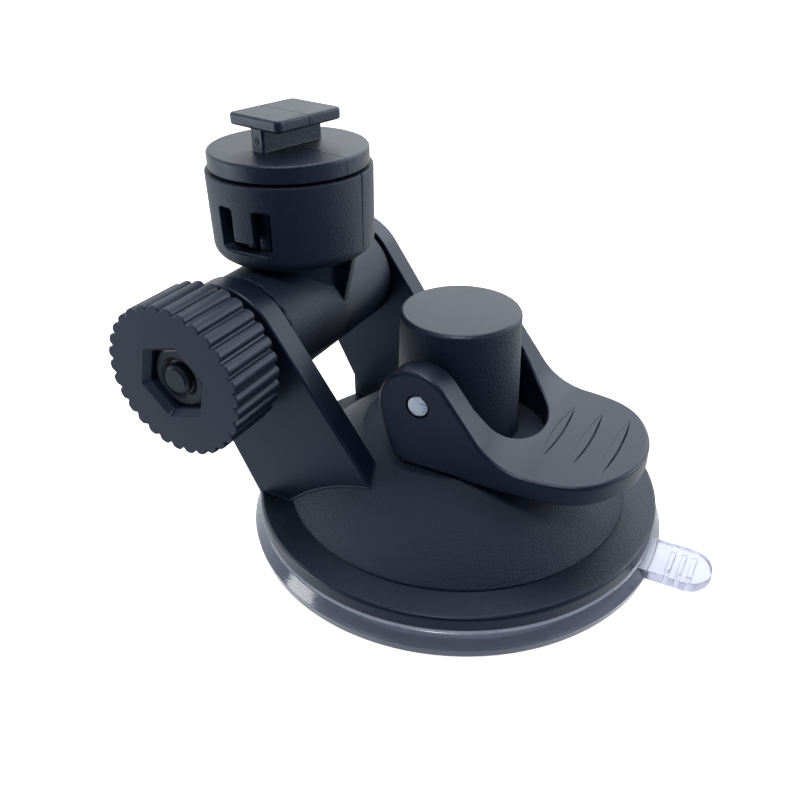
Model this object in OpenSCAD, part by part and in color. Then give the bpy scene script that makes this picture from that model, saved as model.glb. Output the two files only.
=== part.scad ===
// Windscreen suction mount for a dash camera. All sizes are in millimetres.
// The origin is the centre of the sealing face, +Z points away from the glass,
// +X points to the lever's paddle, and the clamp knob is on the -Y side.

/* [Suction cup] */
// How far the soft cup stands out beyond the flange
cup_over = 1.4; // [0.6:0.1:6]
// Height of the cup's rim bead
cup_rim_h = 3.2; // [2.6:0.1:4]
// Thickness of the cup's skin
cup_skin = 1.8; // [1.2:0.1:2.4]
// How far the locked lever lifts the middle of the cup
cup_lift = 2.2; // [1.2:0.1:2.6]
// Width of the pull tab
tab_w = 8; // [5:0.5:12]
// Length of the pull tab beyond the rim
tab_l = 7.9; // [5:0.5:14]
// Thickness of the pull tab
tab_t = 2; // [1.2:0.1:2.4]

/* [Housing] */
// Diameter of the housing's flange
flange_d = 60; // [58:0.5:74]
// Height of the flange's top face above the glass
flange_z = 5.8; // [5:0.1:8]
// Width of the flange's flat ring
flange_ring = 4.5; // [2:0.1:7]
// Height of the flat top of the dome, where the lever's ears ride
dome_z = 15.3; // [14:0.1:20]
// Wall of the dome and the flange
shell_wall = 2.3; // [1.6:0.1:3]
// Diameter of the tower that guides the stem
tower_d = 17.3; // [15:0.1:20]
// Height of the tower's closed top
tower_z = 33.9; // [30:0.1:44]
// Wall of the tower
tower_wall = 2; // [1.4:0.1:3]

/* [Lever] */
// Height of the lever's pin above the glass when locked
pin_z = 25.2; // [24.5:0.1:27]
// Diameter of the lever's pin
pin_d = 3; // [2:0.1:4]
// Thickness of each ear
ear_t = 3.8; // [2.5:0.1:5]
// Reach of the paddle's tip from the pin
paddle_l = 27.4; // [22:0.2:40]
// Thickness of the paddle
paddle_t = 3.1; // [2:0.1:4]
// Turn of the lever from locked to free
lever_turn = 80; // [60:5:80]

/* [Arms] */
// Distance of the swivel's axis behind the tower
swivel_x = 27; // [26:0.5:34]
// Height of the swivel's axis
swivel_z = 29.7; // [27:0.1:38]
// Distance between the inner faces of the arms
arm_gap = 27.6; // [27.4:0.1:34]
// Thickness of each arm
arm_t = 3.7; // [2.5:0.1:5]
// Radius of the round top of each arm
arm_r = 8.9; // [8.5:0.1:11]

/* [Swivel socket] */
// Diameter of the barrel between the arms
barrel_d = 17; // [14:0.2:18]
// Diameter of the drum at its rim
drum_d = 23.6; // [20:0.1:28]
// Height of the drum
drum_h = 12; // [10:0.1:15]
// Wall of the drum
drum_wall = 1.8; // [1.2:0.1:2.4]
// Number of face teeth between barrel and near arm
teeth = 24; // [12:2:30]

/* [Camera shoe] */
// Width of the drum's rim left bare around the turntable disc
rim_bare = 0.5; // [0.2:0.05:1.2]
// Thickness of the turntable disc
disc_t = 2.4; // [1.6:0.1:4]
// Width of the T-plate across its rails
plate_w = 10; // [8:0.2:16]
// Length of the T-plate along its rails
plate_l = 12; // [8:0.2:18]
// Thickness of the T-plate
plate_t = 1.6; // [1:0.1:2.4]
// Height of the neck under the T-plate
neck_h = 3.1; // [2:0.1:5]
// Width of the neck
neck_w = 2.7; // [2:0.1:7]
// Turn of the shoe as it stands
shoe_turn = -12; // [-180:1:180]

/* [Clamp] */
// Diameter of the clamp knob over its ribs
knob_d = 21.2; // [18:0.2:28]
// Length of the ribbed part of the knob
knob_l = 8.8; // [7:0.1:14]
// Number of grip ribs
knob_ribs = 30; // [12:1:40]
// Thread diameter of the clamp bolt
bolt_d = 5; // [4:0.5:6]
// Width across the flats of the nut and of the bolt's head
hex_af = 8; // [7:0.1:10]
// Height of the nut
nut_h = 4; // [3:0.1:5]

/* [Hidden] */
$fn = 96;

fit = 0.05;       // radial clearance of a pin or bolt in its bore
gap = 0.3;        // clearance between pieces that move past each other
tiny = 0.01;      // overlap that lets two solids join

flange_r = flange_d / 2;
cup_r = flange_r + cup_over;
flange_under = cup_rim_h + 0.25;
lip_r = flange_r - 5;                     // where the stiff rim ends and the web starts
foot_r = 12;                              // rigid foot moulded into the cup's middle
web_low = 0.6;                            // underside of the web at the rim
web_high = web_low + cup_lift + 0.8;      // underside of the cup's raised middle
foot_z = web_high + cup_skin;             // bottom face of the stem's foot
foot_t = 1.8;

dome_edge = flange_r - flange_ring - 0.2; // radius where the dome leaves the flange
dome_foot = flange_z + 0.3;               // small step at the dome's edge
pad_r = 14;                               // radius of the dome's flat top
dome_cz = ((dome_edge ^ 2 - pad_r ^ 2) / (dome_z - dome_foot) - dome_z - dome_foot) / -2;
dome_r = sqrt(pad_r ^ 2 + (dome_z - dome_cz) ^ 2);

tower_r = tower_d / 2;
bore_r = tower_r - tower_wall;            // guide bore in the tower
stem_r = bore_r - gap;
ceiling_z = tower_z - 2;
stem_top = ceiling_z - 0.6;
slot_w = pin_d + 2 * gap + 0.2;

cavity_top = dome_z - shell_wall;         // ceiling of the hollow under the dome
spring_wire = 1;
spring_r = bore_r + 0.5 + spring_wire / 2;
spring_turns = 3;

ear_in = tower_r + 0.55;                  // inner face of each ear
ear_out = ear_in + ear_t;
cam_h = pin_z - dome_z - 0.2;             // pin to the flat underside of the lever
cam_k = cup_lift / (lever_turn * PI / 180); // pin drop for one radian of lever turn
ear_top = 5.1;                            // pin to the top of the ear
ear_back = 5.7;                           // pin to the ear's back edge
ear_nose_x = 12.6;                        // where the ear's slope meets the paddle
paddle_top = -cam_h + paddle_t;           // paddle's top face below the pin
throat_x = 3.9;                           // centre of the round throat around the tower
throat_r = ear_in;
paddle_r = ear_out + 0.8;                 // round end of the paddle

arm_in = arm_gap / 2;
arm_out = arm_in + arm_t;
arm_front = 35;                           // lean of the arms' front edge from the vertical
arm_rear = 27.5;                          // lean of their rear edge

barrel_r = barrel_d / 2;
tooth_h = 0.3;
barrel_near = arm_in - 2 * tooth_h - 0.15; // barrel's toothed end, without its teeth
barrel_far = arm_in - gap;
drum_r = drum_d / 2;
drum_low = swivel_z + barrel_r + 0.2;     // underside of the drum
drum_top = drum_low + drum_h;
drum_floor = drum_low + 1.8;
web_t = 1.3;                              // gusset between barrel and drum
slot_half = 22;                           // half angle of the snap window
finger_half = 8;                          // half angle of the snap finger
window_low = drum_low + 2.2;
window_high = drum_low + 8.5;
finger_low = window_low + 1.6;

disc_z = drum_top + gap;
disc_top = disc_z + disc_t;
disc_r = drum_r - rim_bare;
hub_r = drum_r - drum_wall - gap - 0.3;
hub_low = drum_floor + gap;
neck_l = plate_l - 1;
hub_grooves = 24;

bolt_r = bolt_d / 2;
bolt_end = 0.9;                           // bolt's end below the knob's face
head_h = 3.5;
pocket_af = hex_af + 0.3;
mouth_af = hex_af + 1.5;
hex_turn = 15;                            // turn of the knob's hexagon from +X
washer_t = 1;
washer_y = arm_out + 0.1;
knob_hub = washer_y + washer_t + 0.1;
knob_back = knob_hub + 1.3;
knob_face = knob_back + knob_l;
knob_r = knob_d / 2;
rib_h = 0.6;
nut_face = knob_face - 1.3;
boss_y = arm_out + 3;                     // outer face of the bolt head's boss
head_y = boss_y - head_h - 0.2;

function hex_r(af) = af / sqrt(3);
function arc(cx, cy, r, a0, a1, n) =
    [for (i = [0:n]) [cx + r * cos(a0 + (a1 - a0) * i / n), cy + r * sin(a0 + (a1 - a0) * i / n)]];
function dome_at(r, low) = dome_cz + sqrt((dome_r - low) ^ 2 - r ^ 2);
function cam_point(a) = let (h = cam_h - cam_k * a * PI / 180)
    [-h * sin(a) + cam_k * cos(a), -h * cos(a) - cam_k * sin(a)];

// Turns a solid drawn along +Z so that it lies along -Y at the swivel's axis.
module along_swivel(y0) {
    translate([-swivel_x, -y0, swivel_z]) rotate([90, 0, 0]) children();
}

// Flat outline in X and Z, thickened along Y from y0 to y1.
module plate_xz(y0, y1) {
    translate([0, y1, 0]) rotate([90, 0, 0]) linear_extrude(y1 - y0) children();
}

// Rounded rod along Y through a point in X and Z.
module rod_y(x, z, r, y0, y1) {
    translate([x, y1, z]) rotate([90, 0, 0]) cylinder(r = r, h = y1 - y0);
}

// ---- suction cup ----

module tab_outline() {
    hull() {
        translate([lip_r + 3, -tab_w / 2]) square([1, tab_w]);
        translate([cup_r + tab_l - tab_w / 2 + 0.6, 0]) circle(d = tab_w - 0.4, $fn = 32);
    }
}

module suction_cup() {
    tab_z = cup_rim_h - 0.2 - tab_t;
    color([0.86, 0.88, 0.9, 0.6]) union() {
        rotate_extrude() polygon([
            [lip_r, 0], [cup_r - 0.8, 0], [cup_r, 0.8], [cup_r, cup_rim_h - 1],
            [cup_r - 1, cup_rim_h], [lip_r + 1, cup_rim_h], [lip_r, web_low + cup_skin]]);
        translate([0, 0, tab_z]) linear_extrude(tab_t) tab_outline();
        for (i = [0:2]) {
            translate([cup_r + 2 + 1.7 * i, -tab_w / 2 + 1.2, tab_z + tab_t - tiny])
                cube([0.7, tab_w - 2.4, 0.4]);
        }
    }
}

module cup_web() {
    color([0.86, 0.88, 0.9, 0.6]) rotate_extrude() polygon([
        [foot_r, web_high], [lip_r, web_low], [lip_r, web_low + cup_skin], [foot_r, foot_z]]);
}

module cup_centre() {
    color([0.86, 0.88, 0.9, 0.6]) translate([0, 0, web_high]) cylinder(r = foot_r, h = cup_skin);
}

module cup_stem() {
    color([0.1, 0.1, 0.12]) difference() {
        union() {
            translate([0, 0, foot_z]) cylinder(r = foot_r, h = foot_t);
            translate([0, 0, foot_z]) cylinder(r = stem_r, h = stem_top - foot_z);
        }
        rod_y(0, pin_z, pin_d / 2 + fit, -cup_r, cup_r);
    }
}

// Points of the spring's wire: one ring of corners for each step along the helix.
spring_steps = 16 * spring_turns;
spring_low = foot_z + foot_t + spring_wire / 2 + 0.05;
spring_high = cavity_top - spring_wire / 2 - 0.05;
function spring_at(i) = let (t = i / spring_steps, a = 360 * spring_turns * t)
    [for (k = [0:7]) let (r = spring_r + spring_wire / 2 * cos(45 * k))
        [r * cos(a), r * sin(a), spring_low + (spring_high - spring_low) * t + spring_wire / 2 * sin(45 * k)]];

module return_spring() {
    rings = [for (i = [0:spring_steps]) each spring_at(i)];
    sides = [for (i = [0:spring_steps - 1]) for (k = [0:7])
        [8 * i + k, 8 * i + (k + 1) % 8, 8 * i + 8 + (k + 1) % 8, 8 * i + 8 + k]];
    first = [[for (k = [7:-1:0]) k]];
    last = [[for (k = [0:7]) 8 * spring_steps + k]];
    color([0.7, 0.72, 0.75]) polyhedron(rings, concat(sides, first, last), convexity = 6);
}

// ---- housing ----

module shell_outline() {
    polygon(concat(
        [[0, flange_under], [flange_r, flange_under], [flange_r, flange_z - 0.7]],
        arc(flange_r - 0.7, flange_z - 0.7, 0.7, 15, 90, 5),
        [[dome_edge, flange_z], [dome_edge, dome_foot]],
        [for (i = [1:15]) let (r = dome_edge + (pad_r - dome_edge) * i / 16) [r, dome_at(r, 0)]],
        [[pad_r, dome_z], [0, dome_z]]));
}

module cavity_outline() {
    wall_r = dome_edge - 1.4;
    flat_r = sqrt((dome_r - shell_wall) ^ 2 - (cavity_top - dome_cz) ^ 2);
    polygon(concat(
        [[0, -1], [lip_r + 1.2, -1], [lip_r + 1.2, flange_under + 0.4], [wall_r, dome_at(wall_r, shell_wall)]],
        [for (i = [1:11]) let (r = wall_r + (flat_r - wall_r) * i / 12) [r, dome_at(r, shell_wall)]],
        [[flat_r, cavity_top], [0, cavity_top]]));
}

// Leaning arm with a round top about the swivel's axis.
module arm_outline() {
    front = [arm_r * cos(arm_front), arm_r * sin(arm_front)];
    rear = [-arm_r * cos(arm_rear), -arm_r * sin(arm_rear)];
    drop = swivel_z - flange_under;
    translate([-swivel_x, swivel_z]) polygon(concat(
        arc(0, 0, arm_r, arm_front, 180 + arm_rear, 24),
        [rear + (drop + rear[1]) * [tan(arm_rear), -1], front + (drop + front[1]) * [tan(arm_front), -1]]));
}

module arm(side) {
    y0 = side > 0 ? arm_in : -arm_out;
    y1 = side > 0 ? arm_out : -arm_in;
    plate_xz(y0, y1) arm_outline();
    intersection() {
        translate([0, 0, flange_under]) cylinder(r = flange_r, h = dome_foot + 4 - flange_under);
        translate([-flange_r, y0, 0]) cube([flange_r / 2, arm_t, dome_z]);
    }
}

// Ring of face teeth: wedges that stand up from z = 0 about the Z axis.
module face_teeth(r_in, r_out) {
    half = r_out * tan(90 / teeth) * 0.9;
    for (i = [0:teeth - 1]) {
        rotate([90, 0, 360 * i / teeth + 90]) translate([0, 0, r_in])
            linear_extrude(r_out - r_in) polygon([[-half, -0.2], [half, -0.2], [0, tooth_h]]);
    }
}

module base_housing() {
    color([0.09, 0.09, 0.11]) difference() {
        union() {
            difference() {
                union() {
                    rotate_extrude() shell_outline();
                    arm(-1);
                    arm(1);
                }
                rotate_extrude() cavity_outline();
            }
            translate([0, 0, dome_z - 1]) cylinder(r = tower_r, h = tower_z - dome_z + 0.5);
            translate([0, 0, tower_z - 0.5 - tiny]) cylinder(r1 = tower_r, r2 = tower_r - 0.5, h = 0.5 + tiny);
            rod_y(-swivel_x, swivel_z, hex_r(hex_af) + 2, arm_out - tiny, boss_y);
            along_swivel(arm_in) rotate([180, 0, 0]) face_teeth(bolt_r + 2.4, barrel_r - 0.6);
            intersection() {
                rotate_extrude() shell_outline();
                for (i = [0:7]) {
                    rotate([0, 0, 22.5 + 45 * i]) translate([foot_r + 2, -0.7, foot_z + foot_t + 1])
                        cube([dome_edge - foot_r - 3.2, 1.4, dome_z - foot_z - foot_t - 2]);
                }
            }
        }
        translate([0, 0, -1]) cylinder(r = bore_r, h = ceiling_z + 1);
        rod_y(0, pin_z, slot_w / 2, -flange_r, flange_r);
        rod_y(0, pin_z - cup_lift, slot_w / 2, -flange_r, flange_r);
        translate([-slot_w / 2, -flange_r, pin_z - cup_lift]) cube([slot_w, 2 * flange_r, cup_lift]);
        rod_y(-swivel_x, swivel_z, bolt_r + fit, -flange_r, flange_r);
        translate([-swivel_x, head_y, swivel_z]) rotate([-90, 30, 0])
            cylinder(r = hex_r(pocket_af), h = head_h + 2, $fn = 6);
    }
}

// ---- lever ----

// The ear's underside follows a curve that drops the pin evenly as the lever turns up.
module ear_outline() {
    toe = 38;
    polygon(concat(
        arc(0.2, ear_top - 5.6, 5.6, 30, 158, 16),
        [[-ear_back, -1.4]],
        [for (a = [toe:-4:2]) cam_point(a)],
        [[cam_k, -cam_h], [ear_nose_x + 2, -cam_h], [ear_nose_x + 2, paddle_top], [ear_nose_x, paddle_top],
         [10.4, paddle_top + 1.5]]));
}

module paddle_outline() {
    intersection() {
        translate([6, -ear_out]) square([paddle_l, 2 * ear_out]);
        union() {
            translate([paddle_l - paddle_r, 0]) circle(r = paddle_r);
            translate([6, -ear_out]) square([paddle_l - paddle_r - 6, 2 * ear_out]);
        }
    }
}

module lever() {
    color([0.12, 0.13, 0.15]) translate([0, 0, pin_z]) difference() {
        union() {
            plate_xz(-ear_out, -ear_in) ear_outline();
            plate_xz(ear_in, ear_out) ear_outline();
            translate([0, 0, -cam_h]) linear_extrude(paddle_t) paddle_outline();
        }
        translate([throat_x, 0, -cam_h - 1]) cylinder(r = throat_r, h = paddle_t + 2);
        translate([0, -throat_r, -cam_h - 1]) cube([throat_x, 2 * throat_r, paddle_t + 2]);
        rod_y(0, 0, pin_d / 2 + fit, -ear_out - 1, ear_out + 1);
        for (i = [0:2]) {
            translate([15.4 + 4.1 * i, 0, paddle_top]) intersection() {
                translate([22.6, 0, -0.35]) cylinder(r = 23.3, h = 1);
                translate([-22.6, 0, -0.35]) cylinder(r = 23.3, h = 1);
            }
        }
    }
}

module lever_pin() {
    color([0.8, 0.81, 0.82]) rod_y(0, pin_z, pin_d / 2, -ear_out + 0.1, ear_out - 0.1);
}

// ---- swivel socket ----

module drum_wedge(half, r_in, r_out, low, high) {
    translate([0, 0, low]) rotate([0, 0, -90 - half])
        rotate_extrude(angle = 2 * half) translate([r_in, 0]) square([r_out - r_in, high - low]);
}

module swivel_socket() {
    inner = drum_r - drum_wall;
    color([0.09, 0.09, 0.11]) difference() {
        union() {
            rod_y(-swivel_x, swivel_z, barrel_r, -barrel_near, barrel_far);
            along_swivel(barrel_near) face_teeth(bolt_r + 2.4, barrel_r - 0.6);
            translate([-swivel_x, 0, swivel_z]) cylinder(r = barrel_r - 1, h = barrel_r + 1);
            translate([-swivel_x, 0, 0]) plate_xz(-web_t / 2, web_t / 2) polygon([
                [-barrel_r + 0.2, swivel_z + 1.5], [barrel_r - 0.2, swivel_z + 1.5],
                [drum_r - 1.1, drum_low + 0.5], [-drum_r + 1.1, drum_low + 0.5]]);
            translate([-swivel_x, 0, 0]) rotate_extrude() polygon(concat(
                [[0, drum_low]],
                arc(drum_r - 1.6, drum_low + 1.5, 1.5, -90, 0, 5),
                [[drum_r - 0.1, drum_low + 1.6], [drum_r, drum_top], [inner, drum_top],
                 [inner, drum_floor], [0, drum_floor]]));
        }
        rod_y(-swivel_x, swivel_z, bolt_r + fit, -arm_in, arm_in);
        for (side = [0, 180]) {
            translate([-swivel_x, 0, 0]) rotate([0, 0, side]) difference() {
                drum_wedge(slot_half, inner - 1, drum_r + 1, window_low, window_high);
                drum_wedge(finger_half, inner - 2, drum_r + 2, finger_low, window_high + 1);
            }
        }
    }
}

// ---- camera shoe ----

module camera_shoe() {
    plate_z = disc_top + neck_h;
    color([0.11, 0.12, 0.13]) translate([-swivel_x, 0, 0]) rotate([0, 0, shoe_turn]) union() {
        difference() {
            translate([0, 0, hub_low]) cylinder(r = hub_r, h = disc_z - hub_low + tiny);
            for (i = [0:hub_grooves - 1]) {
                rotate([0, 0, 360 * i / hub_grooves]) translate([hub_r + 0.1, 0, hub_low - 1])
                    cylinder(r = 0.5, h = disc_z - hub_low + 0.5, $fn = 24);
            }
            translate([0, 0, hub_low - 1]) cylinder(r = hub_r - 2.2, h = disc_z - hub_low);
        }
        translate([0, 0, disc_z]) cylinder(r = disc_r, h = disc_t - 0.4);
        translate([0, 0, disc_top - 0.4 - tiny]) cylinder(r1 = disc_r, r2 = disc_r - 0.4, h = 0.4 + tiny);
        translate([-neck_w / 2, -neck_l / 2, disc_top - tiny]) cube([neck_w, neck_l, neck_h + 2 * tiny]);
        translate([-plate_w / 2, -plate_l / 2, plate_z]) cube([plate_w, plate_l, plate_t]);
    }
}

// ---- clamp ----

module clamp_bolt() {
    shank = head_y + knob_face - bolt_end;
    color([0.08, 0.08, 0.09]) union() {
        translate([-swivel_x, head_y + head_h, swivel_z]) rotate([90, 30, 0])
            cylinder(r = hex_r(hex_af), h = head_h, $fn = 6);
        translate([-swivel_x, head_y + tiny, swivel_z]) rotate([90, 0, 0]) {
            cylinder(r = bolt_r, h = shank - 0.5 + tiny);
            translate([0, 0, shank - 0.5]) cylinder(r1 = bolt_r, r2 = bolt_r - 0.5, h = 0.5 + tiny);
        }
    }
}

module clamp_washer() {
    color([0.3, 0.3, 0.32]) along_swivel(washer_y) difference() {
        cylinder(r = bolt_r + 4.2, h = washer_t);
        translate([0, 0, -1]) cylinder(r = bolt_r + fit, h = washer_t + 2);
    }
}

// Flat outline of the groove between two grip ribs.
module groove_outline() {
    pitch = 2 * PI * knob_r / knob_ribs;
    polygon([[knob_r - rib_h, -0.1 * pitch], [knob_r + 0.2, -0.24 * pitch],
             [knob_r + 0.2, 0.24 * pitch], [knob_r - rib_h, 0.1 * pitch]]);
}

module clamp_knob() {
    color([0.12, 0.12, 0.14]) along_swivel(knob_hub) difference() {
        union() {
            cylinder(r = bolt_r + 4.2, h = knob_back - knob_hub + 1);
            translate([0, 0, knob_back - knob_hub]) cylinder(r = knob_r, h = knob_l);
        }
        for (i = [0:knob_ribs - 1]) {
            rotate([0, 0, 360 * (i + 0.5) / knob_ribs]) translate([0, 0, knob_back - knob_hub - 1])
                linear_extrude(knob_l + 2) groove_outline();
        }
        translate([0, 0, -1]) cylinder(r = bolt_r + fit, h = knob_face);
        translate([0, 0, nut_face - nut_h - knob_hub]) rotate([0, 0, hex_turn])
            cylinder(r = hex_r(pocket_af), h = knob_l, $fn = 6);
        translate([0, 0, knob_face - knob_hub - 1]) rotate([0, 0, hex_turn])
            cylinder(r1 = hex_r(pocket_af) - 0.08, r2 = hex_r(mouth_af), h = 1.05, $fn = 6);
    }
}

module knob_nut() {
    color([0.1, 0.1, 0.11]) along_swivel(nut_face - nut_h + 0.05) difference() {
        rotate([0, 0, hex_turn]) cylinder(r = hex_r(hex_af), h = nut_h - 0.05, $fn = 6);
        translate([0, 0, -1]) cylinder(r = bolt_r + fit, h = nut_h + 2);
    }
}

base_housing();
suction_cup();
cup_web();
cup_centre();
cup_stem();
return_spring();
lever();
lever_pin();
swivel_socket();
camera_shoe();
clamp_bolt();
clamp_washer();
clamp_knob();
knob_nut();
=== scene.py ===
import bmesh
import bpy
import math
from mathutils import Matrix, Vector


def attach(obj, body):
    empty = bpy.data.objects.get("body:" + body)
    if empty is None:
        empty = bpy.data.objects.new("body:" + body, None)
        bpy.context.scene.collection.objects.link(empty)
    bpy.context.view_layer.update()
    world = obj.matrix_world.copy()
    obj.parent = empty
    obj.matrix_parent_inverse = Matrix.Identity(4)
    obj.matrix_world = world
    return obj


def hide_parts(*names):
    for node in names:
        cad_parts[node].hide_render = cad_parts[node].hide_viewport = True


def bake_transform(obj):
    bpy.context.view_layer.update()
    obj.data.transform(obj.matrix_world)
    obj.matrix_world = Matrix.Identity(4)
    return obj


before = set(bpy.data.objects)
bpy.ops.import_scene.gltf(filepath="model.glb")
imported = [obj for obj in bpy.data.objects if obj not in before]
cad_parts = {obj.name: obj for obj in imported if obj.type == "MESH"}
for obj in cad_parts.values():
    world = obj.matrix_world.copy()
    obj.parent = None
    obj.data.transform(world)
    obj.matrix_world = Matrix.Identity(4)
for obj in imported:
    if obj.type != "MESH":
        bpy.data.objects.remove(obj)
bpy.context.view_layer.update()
print("stage: frame loaded")

mm = 0.001
pi = math.pi
sharpestInset = 0.3  # keeps an inset outline's sharp corners from running away
rowsPerThread, flankSteep = 8, 1.6  # how finely a thread is drawn, and how steep its flanks are


# mesh helpers: outlines and places are in millimetres

def newPiece(name, points, faces):
    mesh = bpy.data.meshes.new(name)
    mesh.from_pydata([tuple(Vector(p) * mm) for p in points], [], faces)
    bm = bmesh.new()
    bm.from_mesh(mesh)
    bmesh.ops.recalc_face_normals(bm, faces=bm.faces)
    bm.to_mesh(mesh)
    bm.free()
    piece = bpy.data.objects.new(name, mesh)
    bpy.context.scene.collection.objects.link(piece)
    return piece


def polar(radius, angle):
    return radius * math.cos(angle), radius * math.sin(angle)


def rounded(corners, steps=4):  # a corner is (x, y) or (x, y, radius)
    points = []
    for i, corner in enumerate(corners):
        here = Vector(corner[:2])
        radius = corner[2] if len(corner) > 2 else 0
        if not radius:
            points.append((here.x, here.y))
            continue
        toBack = (Vector(corners[i - 1][:2]) - here).normalized()
        toNext = (Vector(corners[(i + 1) % len(corners)][:2]) - here).normalized()
        half = math.acos(max(-1, min(1, toBack.dot(toNext)))) / 2
        centre = here + (toBack + toNext).normalized() * radius / math.sin(half)
        start = here + toBack * radius / math.tan(half) - centre
        end = here + toNext * radius / math.tan(half) - centre
        first = math.atan2(start.y, start.x)
        turn = (math.atan2(end.y, end.x) - first + pi) % (2 * pi) - pi
        for k in range(steps + 1):
            x, y = polar(radius, first + turn * k / steps)
            points.append((centre.x + x, centre.y + y))
    return points


def arcPoints(x, y, radius, start, end, steps):
    around = [polar(radius, math.radians(start + (end - start) * k / steps)) for k in range(steps + 1)]
    return [(x + a, y + b) for a, b in around]


def smoothThrough(points, steps=4):  # an open curve that passes through every point
    ends = [Vector(points[0]) * 2 - Vector(points[1])] + [Vector(p) for p in points]
    ends.append(Vector(points[-1]) * 2 - Vector(points[-2]))
    curve = []
    for i in range(1, len(ends) - 2):
        a, b, c, d = ends[i - 1:i + 3]
        for k in range(steps):
            t = k / steps
            curve.append(tuple(0.5 * (2 * b + (c - a) * t + (2 * a - 5 * b + 4 * c - d) * t * t
                                      + (3 * b - a - 3 * c + d) * t ** 3)))
    curve.append(tuple(points[-1]))
    return curve


def inset(outline, depth):  # moves a closed anticlockwise outline inwards
    moved = []
    for i, here in enumerate(outline):
        here = Vector(here)
        into = (here - Vector(outline[i - 1])).normalized()
        out = (Vector(outline[(i + 1) % len(outline)]) - here).normalized()
        sideIn, sideOut = Vector((-into.y, into.x)), Vector((-out.y, out.x))
        moved.append(here + (sideIn + sideOut) * depth / max(sharpestInset, 1 + sideIn.dot(sideOut)))
    return moved


def loft(name, levels, place=Matrix()):  # a closed solid through outlines that have the same number of points
    points, faces = [], []
    count = len(levels[0][1])
    for z, outline in levels:
        points += [place @ Vector((p[0], p[1], z(p) if callable(z) else z)) for p in outline]
    for level in range(len(levels) - 1):
        for k in range(count):
            j = (k + 1) % count
            a, b = level * count, (level + 1) * count
            faces.append((a + k, a + j, b + j, b + k))
    faces.append(tuple(reversed(range(count))))
    faces.append(tuple(range((len(levels) - 1) * count, len(levels) * count)))
    return newPiece(name, points, faces)


# a prism whose lower and upper edges are rounded off
def softPrism(name, outline, low, high, softLow=0, softHigh=0, place=Matrix(), steps=4):
    area = sum(a[0] * b[1] - b[0] * a[1] for a, b in zip(outline, outline[1:] + outline[:1]))
    outline = list(outline) if area > 0 else list(reversed(outline))
    levels = []
    for k in range(steps if softLow else 0):
        angle = pi / 2 * k / steps
        shrink = softLow * (1 - math.sin(angle))
        levels.append((low + softLow * (1 - math.cos(angle)), inset(outline, shrink)))
    levels += [(low + softLow, outline), (high - softHigh, outline)]
    for k in range(1, steps + 1 if softHigh else 0):
        angle = pi / 2 * k / steps
        shrink = softHigh * (1 - math.cos(angle))
        levels.append((high - softHigh * (1 - math.sin(angle)), inset(outline, shrink)))
    return loft(name, levels, place)


# a closed outline of (r, z) turned round the Z axis; wave(angle, r, z) lifts a point
def lathe(name, outline, turns=144, place=Matrix(), wave=None):
    rings, points, faces = [], [], []
    for r, z in outline:
        if r < 1e-6:
            rings.append([len(points)])
            points.append(place @ Vector((0, 0, z)))
            continue
        rings.append(list(range(len(points), len(points) + turns)))
        for k in range(turns):
            angle = 2 * pi * k / turns
            rise = wave(angle, r, z) if wave else 0
            points.append(place @ Vector((*polar(r, angle), z + rise)))
    for ring, following in zip(rings, rings[1:] + rings[:1]):
        if len(ring) == 1 and len(following) == 1:
            continue
        for k in range(turns):
            j = (k + 1) % turns
            if len(ring) == 1:
                faces.append((ring[0], following[k], following[j]))
            elif len(following) == 1:
                faces.append((ring[k], following[0], ring[j]))
            else:
                faces.append((ring[k], following[k], following[j], ring[j]))
    return newPiece(name, points, faces)


def rod(name, radius, low, high, place=Matrix(), turns=64):
    return lathe(name, [(0, low), (radius, low), (radius, high), (0, high)], turns, place)


def threadedRod(name, radius, depth, pitch, low, high, place=Matrix(), taper=None, turns=48):
    rows = round((high - low) / pitch * rowsPerThread)
    points = [place @ Vector((0, 0, low))]
    for row in range(rows + 1):
        z = low + (high - low) * row / rows
        for k in range(turns):
            phase = (z / pitch - k / turns) % 1
            r = radius - depth * min(1, max(0, flankSteep - 2 * flankSteep * abs(phase - 0.5)))
            r = min(r, taper(z)) if taper else r
            points.append(place @ Vector((*polar(r, 2 * pi * k / turns), z)))
    points.append(place @ Vector((0, 0, high)))
    faces = []
    for k in range(turns):
        j = (k + 1) % turns
        faces.append((0, 1 + j, 1 + k))
        faces.append((len(points) - 1, 1 + rows * turns + k, 1 + rows * turns + j))
        for row in range(rows):
            a, b = 1 + row * turns, 1 + (row + 1) * turns
            faces.append((a + k, a + j, b + j, b + k))
    return newPiece(name, points, faces)


def settle(piece):  # makes the modifiers' result the mesh itself
    bpy.context.view_layer.update()
    made = bpy.data.meshes.new_from_object(piece.evaluated_get(bpy.context.evaluated_depsgraph_get()))
    piece.modifiers.clear()
    before, piece.data = piece.data, made
    bpy.data.meshes.remove(before)
    return piece


def combine(piece, *others, how="UNION"):
    for other in others:
        step = piece.modifiers.new("combine", "BOOLEAN")
        step.operation, step.solver, step.object = how, "MANIFOLD", other
        settle(piece)
        bpy.data.objects.remove(other)
    return piece


def cut(piece, *tools):
    return combine(piece, *tools, how="DIFFERENCE")


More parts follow.
